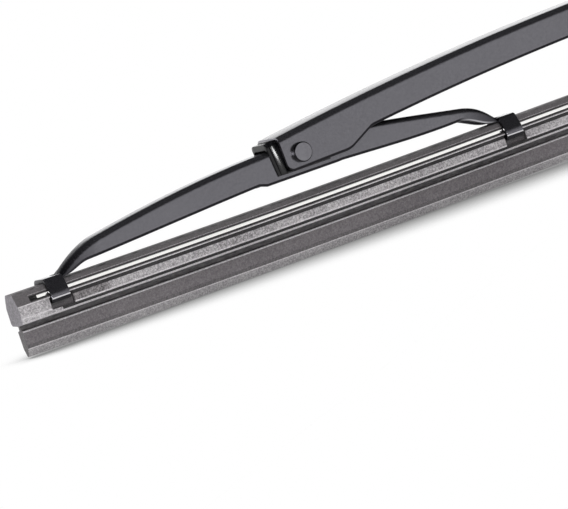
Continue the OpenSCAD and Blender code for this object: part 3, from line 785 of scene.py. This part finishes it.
# Rubber and rails. The small offsets are the widths of its fine lines of painted shade and painted highlight,
# and of its rounded edges.
# the lines there are in painted shade
LINE_DEPTH = 0.14                                     # the dark lines lie this deep between the outer claws
END_CHAMFER = 0.1                                     # of the rails
CUT_Z = BAND_Z - BAND_BEVEL - FALL - 0.05             # below this the body ends before the head
BOW = 0.3


def bow(x):
    """The soft rubber hangs a little between the claws of a yoke and rises towards ends and middle."""
    d, mid = abs(x), (OUTER_X + INNER_X) / 2
    half = (OUTER_X - INNER_X) / 2
    if d >= INNER_X:
        return BOW * ((d - mid) / half) ** 2 - BOW / 2
    s = INNER_X - d
    return BOW / 2 + 2 * BOW / half * s * (1 - s / (2 * INNER_X))


def face_y(z):
    """Half width of the head's slope at a height."""
    return FLAT_W / 2 + HEAD_SLOPE * (RUBBER_H - z)


def on_slope(z, surface):
    """Point of the head's slope, with the surface of the strip below it."""
    return face_y(z), z, surface


def wall_y(z):
    """Half width of the body's wall at a height."""
    top = BAND_Z - BAND_BEVEL - 2 * FALL - WEB_H
    return BEVEL_W / 2 + (BODY_W - BEVEL_W) / 2 * (z - BEVEL_Z) / (top - BEVEL_Z)


def in_pocket(x):
    """True where the band is cut back for a claw's tips."""
    before, after = CLAW_W / 2 + POCKET_GAP + POCKET_PLAY, CLAW_W / 2 + POCKET_GAP
    return any(-before - 1e-6 <= abs(x) - c <= after + 1e-6 for c in (OUTER_X, INNER_X))


def slope_part(slot):
    """The flat top and the slope below it, past the rail's slot, almost to the shoulder."""
    top, low = RAIL_Z + RAIL_T + RAIL_GAP, RAIL_Z - RAIL_GAP
    inner = RAIL_OUT - RAIL_W - RAIL_GAP
    upper_y, lower_y = (inner, inner) if slot else (face_y(top - 0.1), face_y(low + 0.1))
    # where the slot is, a painted highlight line above it and painted shade in its gap
    line, gap = (S_PAINTED_HIGHLIGHT, S_SHADE_LINE) if slot else (S_SMOOTH, S_SMOOTH)
    return [(0.0, RUBBER_H, S_SMOOTH), (FLAT_W / 2 - 0.15, RUBBER_H, S_PAINTED_SHADE),
            on_slope(RUBBER_H - 0.3, S_SMOOTH), on_slope(top + 0.35, line), on_slope(top + 0.31, S_SMOOTH),
            on_slope(top + 0.1, gap), on_slope(top, gap), (upper_y, top, gap), (lower_y, low, gap),
            on_slope(low, gap), on_slope(low - 0.22, S_SMOOTH), on_slope(SHOULDER_Z + 0.05, S_PAINTED_HIGHLIGHT)]


def band_part(pocket, inside):
    """The head's upright side: a line at top and bottom, recessed and in painted shade between the outer
    claws, with the band between, or a pocket.
    """
    head = HEAD_W / 2
    dark, deep = (S_SHADE_LINE, head - LINE_DEPTH) if inside else (S_BAND, head)
    back = head - TIP_REACH - POCKET_GAP
    top = SHOULDER_Z
    s = [(head - 0.03, top - 0.04, S_PAINTED_HIGHLIGHT), (head, top - 0.14, dark)]
    if pocket:
        s += [(back, top - 0.16, S_PAINTED_SHADE), (back, top - 0.6, S_PAINTED_SHADE), (back, top - 0.7, S_PAINTED_SHADE),
              (back, POCKET_Z + 0.65, S_BODY), (back, POCKET_Z + 0.02, S_PAINTED_SHADE), (back, POCKET_Z, S_PAINTED_SHADE)]
    else:
        s += [(deep, top - 0.22, dark), (deep, top - 0.76, dark), (head, top - 0.84, S_BAND)]
        s += [(head, POCKET_Z + above, S_PAINTED_HIGHLIGHT) for above in (0.3, 0.12, 0.08)]
    return s + [(head, POCKET_Z, dark), (deep, POCKET_Z - 0.06, dark), (deep, BAND_Z + 0.11, dark),
                (head, BAND_Z + 0.05, S_PAINTED_HIGHLIGHT), (head - 0.04, BAND_Z - 0.04, S_PAINTED_HIGHLIGHT)]


def low_part():
    """Under the band: bevel, web, the body's wall and the ground lip."""
    under, under_y = BAND_Z - BAND_BEVEL, HEAD_W / 2 - BAND_BEVEL
    neck_top = under - FALL
    neck_low = neck_top - WEB_H
    foot = neck_low - FALL
    web, body, lip = WEB_W / 2, BODY_W / 2, LIP_W / 2
    return [(under_y + 0.1, under + 0.1, S_PAINTED_SHADE), (under_y, under, S_PAINTED_SHADE), (web + 0.15, neck_top, S_PAINTED_SHADE),
            (web, neck_top - 0.12, S_PAINTED_SHADE), (web, neck_low + 0.15, S_PAINTED_SHADE), (web + 0.15, neck_low, S_PAINTED_SHADE),
            (body - 0.14, foot + 0.02, S_PAINTED_HIGHLIGHT), (body - 0.02, foot - 0.08, S_PAINTED_HIGHLIGHT),
            (body, foot - 0.32, S_BODY), (wall_y(BEVEL_Z + 0.75), BEVEL_Z + 0.75, S_LOW),
            (wall_y(BEVEL_Z + 0.02), BEVEL_Z + 0.02, S_PAINTED_HIGHLIGHT),
            (wall_y(BEVEL_Z) - 0.05, BEVEL_Z - 0.17, S_BEVEL),
            (lip, 0.1, S_BEVEL), (lip - 0.1, 0.0, S_BEVEL), (0.0, 0.0, S_BEVEL)]


def rubber_section(x):
    """Right half of the section at x, from the top down, as (y, z, surface of the strip below)."""
    slot = abs(x) <= SLOT_X + 1e-6
    return slope_part(slot) + band_part(in_pocket(x), abs(x) <= OUTER_X) + low_part()


def rubbed(p):
    """Where the frosting is rubbed off: from 0 to 1, just inside the outer claws."""
    near = OUTER_X - CLAW_W / 2 - abs(p.x)
    return max(0.0, min(1.0, min(near + 1, 9.5 - near) / 1.5))


def rubber_stations():
    """From the middle to the end, with close pairs where a slot, pocket or line ends."""
    end = RUBBER_L / 2
    xs = set(np.round(np.arange(0, end - 1, 1.5), 4))
    xs |= {end, end - 0.12, end - 0.5, end - 1.0, SLOT_X, SLOT_X + 0.03, OUTER_X, OUTER_X + 0.05}
    for c in (OUTER_X, INNER_X):
        lo, hi = c - POCKET_GAP - CLAW_W / 2 - POCKET_PLAY, c + CLAW_W / 2 + POCKET_GAP
        xs |= {lo, lo - 0.03, hi, hi + 0.03}
    return sorted(xs)


def rubber_ring(x, side):
    """Ring of points at x, and the surface of each of its segments."""
    s = rubber_section(x)
    body_x = min(x, RUBBER_L / 2 - BODY_INSET)
    right = [(side * (body_x if z < CUT_Z else x), y, z + bow(x)) for y, z, _ in s]
    left = [(px, -y, z) for px, y, z in reversed(right[1:-1])]
    below = [surface for _, _, surface in s[:-1]]
    return right + left, below + below[::-1]


def rubber_half(name, side):
    """One half of the rubber, cut at the blade's middle."""
    rings, mats = zip(*(rubber_ring(x, side) for x in rubber_stations()))
    verts, faces = skin(rings)
    index = []
    for i in range(len(rings) - 1):
        far = abs(rings[i + 1][0][0] - rings[i][0][0]) > 0.1
        # faces across a short step get painted shade
        index += [a if far or a == b else S_PAINTED_SHADE for a, b in zip(mats[i], mats[i + 1])]
    n = len(rings[0])
    last = (len(rings) - 1) * n
    for j in range(n // 2):                           # end faces as strips from side to side
        k = n - 1 - j
        # the body's end, set back under the head, gets painted shade
        end = S_END if rings[-1][j][2] > CUT_Z + bow(RUBBER_L / 2) else S_END_PAINTED_SHADE
        for first, surface in ((last, end), (0, S_SMOOTH)):
            corners = (first + j, first + j + 1, first + k, first + (k + 1) % n)
            faces.append(tuple(dict.fromkeys(corners)))
            index.append(surface)
    ob = put(name, verts, faces, RUBBER, index, sharp=34)
    note(ob, "rubbed", rubbed)
    return half_ride(ob, "wiping_rubber")


def half_ride(ob, node):
    """Bakes a half's placement into its mesh and hides the imported part that it stands in for."""
    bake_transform(ob)
    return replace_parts(ob, node)


def rail_half(name, side, front):
    """One half of a rail, with rounded edges and a chamfered end."""
    y1, y0, e = RAIL_OUT, RAIL_OUT - RAIL_W, 0.07
    low, high, middle = RAIL_Z + e, RAIL_Z + RAIL_T - e, (y0 + y1) / 2
    sec = arc(y1 - e, low, e, -90, 0, 2) + arc(y1 - e, high, e, 0, 90, 2)
    sec += arc(y0 + e, high, e, 90, 180, 2) + arc(y0 + e, low, e, 180, 270, 2)
    rings = []
    for x in sorted(set(np.arange(0, RAIL_X - 0.5, 2.0)) | {RAIL_X, RAIL_X - END_CHAMFER}):
        k = END_CHAMFER if x == RAIL_X else 0.0
        ring = [(y + k if y < middle else y - k, z) for y, z in sec]
        rings.append([(side * x, -y if front else y, z + bow(x)) for y, z in ring])
    ob = loft(name, rings, [RAIL], folded_sheet=False)
    return half_ride(ob, "front_rail" if front else "back_rail")


bridge_shell()
for word, side in (("left", -1), ("right", 1)):
    yoke_shell(f"{word}_yoke_shell", side)
    liner_shell(f"{word}_liner_shell", side)
    rivet_shell(f"{word}_rivet_shell", side)
    rubber_half(f"rubber_{word}", side)
    for where in ("front", "back"):
        rail_half(f"{where}_rail_{word}", side, where == "front")
sleeve_shell()


# Floor, light and camera
LIP = (-SLEEVE_Z + min(0.0, bow((OUTER_X + INNER_X) / 2))) * MM
FLOOR_HALF = 8.0                                      # in metres, like all that follows but the lens
SHADOW_REACH, SHADOW_FULL, SHADOW_NONE = 0.045, 0.31, 0.87
SHADOW_POWER, SHADOW_DARKEST = 1.5, 0.22
WHITE, SOFT_LIGHT, DARK_SKY = (1, 1, 1, 1), (0.63, 0.63, 0.63, 1), (0.05, 0.05, 0.053, 1)
WHITE_UP_TO, DARK_FROM = 0.12, 0.42                   # heights on the unit sphere of the sky in gloss
BACK_FROM, BACK_FULL, BACK_GAIN = 0.3, 0.8, 1.6       # the sky behind the object is brighter in gloss
AZIMUTH, ELEVATION, ROLL = (math.radians(a) for a in (-25.64, 5.2, -17.51))
CAMERA_AT, LENS, SENSOR_W = (-0.432541, -0.681183, 0.045716), 241.0, 36.0


def floor():
    """White sheet: plain and diffuse for the light, white in gloss, and to the camera white with
    the soft contact shadow that the object throws on it."""
    me = bpy.data.meshes.new("floor")
    s = FLOOR_HALF
    me.from_pydata([(-s, -s, LIP), (s, -s, LIP), (s, s, LIP), (-s, s, LIP)], [], [(0, 1, 2, 3)])
    ob = bpy.data.objects.new("floor", me)
    bpy.context.scene.collection.objects.link(ob)
    n = Nodes("floor_white")
    me.materials.append(n.mat)
    n.bsdf.inputs["Base Color"].default_value = (0.8, 0.8, 0.8, 1)
    n.bsdf.inputs["Roughness"].default_value = 1.0
    n.bsdf.inputs["Specular IOR Level"].default_value = 0.0
    near = n.new("ShaderNodeAmbientOcclusion", samples=24)
    near.inputs["Distance"].default_value = SHADOW_REACH
    soft = n.new("ShaderNodeMath", operation="POWER")
    n.link(n.spread(near.outputs["AO"], 0.0, 1.0, SHADOW_FULL, SHADOW_NONE), soft.inputs[0])
    soft.inputs[1].default_value = SHADOW_POWER
    gloss, seen = n.new("ShaderNodeEmission"), n.new("ShaderNodeEmission")
    n.link(n.spread(soft.outputs[0], SHADOW_DARKEST, 1.0), seen.inputs["Strength"])
    path = n.new("ShaderNodeLightPath")
    unseen = n.either(path.outputs["Is Glossy Ray"], n.bsdf.outputs[0], gloss.outputs[0])
    whole = n.either(path.outputs["Is Camera Ray"], unseen, seen.outputs[0])
    n.link(whole, n.tree.nodes["Material Output"].inputs[0])


def world():
    """White to the camera, even for soft light, and for gloss white at the horizon and dark above."""
    w = bpy.data.worlds.new("studio")
    bpy.context.scene.world = w
    w.use_nodes = True
    t = Tree(w.node_tree)
    way = t.new("ShaderNodeSeparateXYZ")
    t.link(t.new("ShaderNodeTexCoord").outputs["Generated"], way.inputs[0])
    sky = t.ramp(way.outputs["Z"], [(WHITE_UP_TO, WHITE), (DARK_FROM, DARK_SKY)])
    brighter = t.new("ShaderNodeVectorMath", operation="SCALE")
    t.link(sky, brighter.inputs[0])
    t.link(t.spread(way.outputs["Y"], 1.0, BACK_GAIN, BACK_FROM, BACK_FULL), brighter.inputs["Scale"])
    path = t.new("ShaderNodeLightPath")
    unseen = t.mixed(path.outputs["Is Glossy Ray"], SOFT_LIGHT, brighter.outputs[0])
    t.link(t.mixed(path.outputs["Is Camera Ray"], unseen, WHITE), t.tree.nodes["Background"].inputs[0])


def lamp(name, at, size, power, aim=(-0.07, 0, 0), shine=0.0):
    """Round area lamp. One with shine only makes highlights, one without gives only soft light."""
    d = bpy.data.lights.new(name, "AREA")
    d.shape, d.size, d.energy, d.specular_factor = "DISK", size, power, shine
    ob = bpy.data.objects.new(name, d)
    bpy.context.scene.collection.objects.link(ob)
    ob.location = at
    ob.rotation_mode = "QUATERNION"
    ob.rotation_quaternion = (Vector(aim) - Vector(at)).to_track_quat("-Z", "Y")
    ob.visible_glossy = shine > 0
    ob.visible_diffuse = shine == 0


def camera():
    """Matched to the photograph: seen from the left of the front, a little above, and rolled."""
    d = bpy.data.cameras.new("camera")
    d.lens, d.sensor_width, d.sensor_fit = LENS, SENSOR_W, "HORIZONTAL"
    d.clip_start, d.clip_end = 0.02, 50
    ob = bpy.data.objects.new("camera", d)
    bpy.context.scene.collection.objects.link(ob)
    upright = Matrix.Rotation(AZIMUTH, 4, "Z") @ Matrix.Rotation(math.pi / 2 - ELEVATION, 4, "X")
    ob.matrix_world = Matrix.Translation(CAMERA_AT) @ upright @ Matrix.Rotation(ROLL, 4, "Z")
    bpy.context.scene.camera = ob


floor()
world()
lamp("key", (-0.35, -0.55, 0.9), 0.7, 5.0)
lamp("back", (0.1, 0.55, 0.7), 0.6, 3.5)
lamp("glint", (-0.52, -0.9, 0.02), 0.26, 8.0, aim=(-0.1, 0, 0), shine=1.0)
camera()
view = bpy.context.scene.view_settings
view.view_transform = "Standard"

bpy.context.view_layer.update()
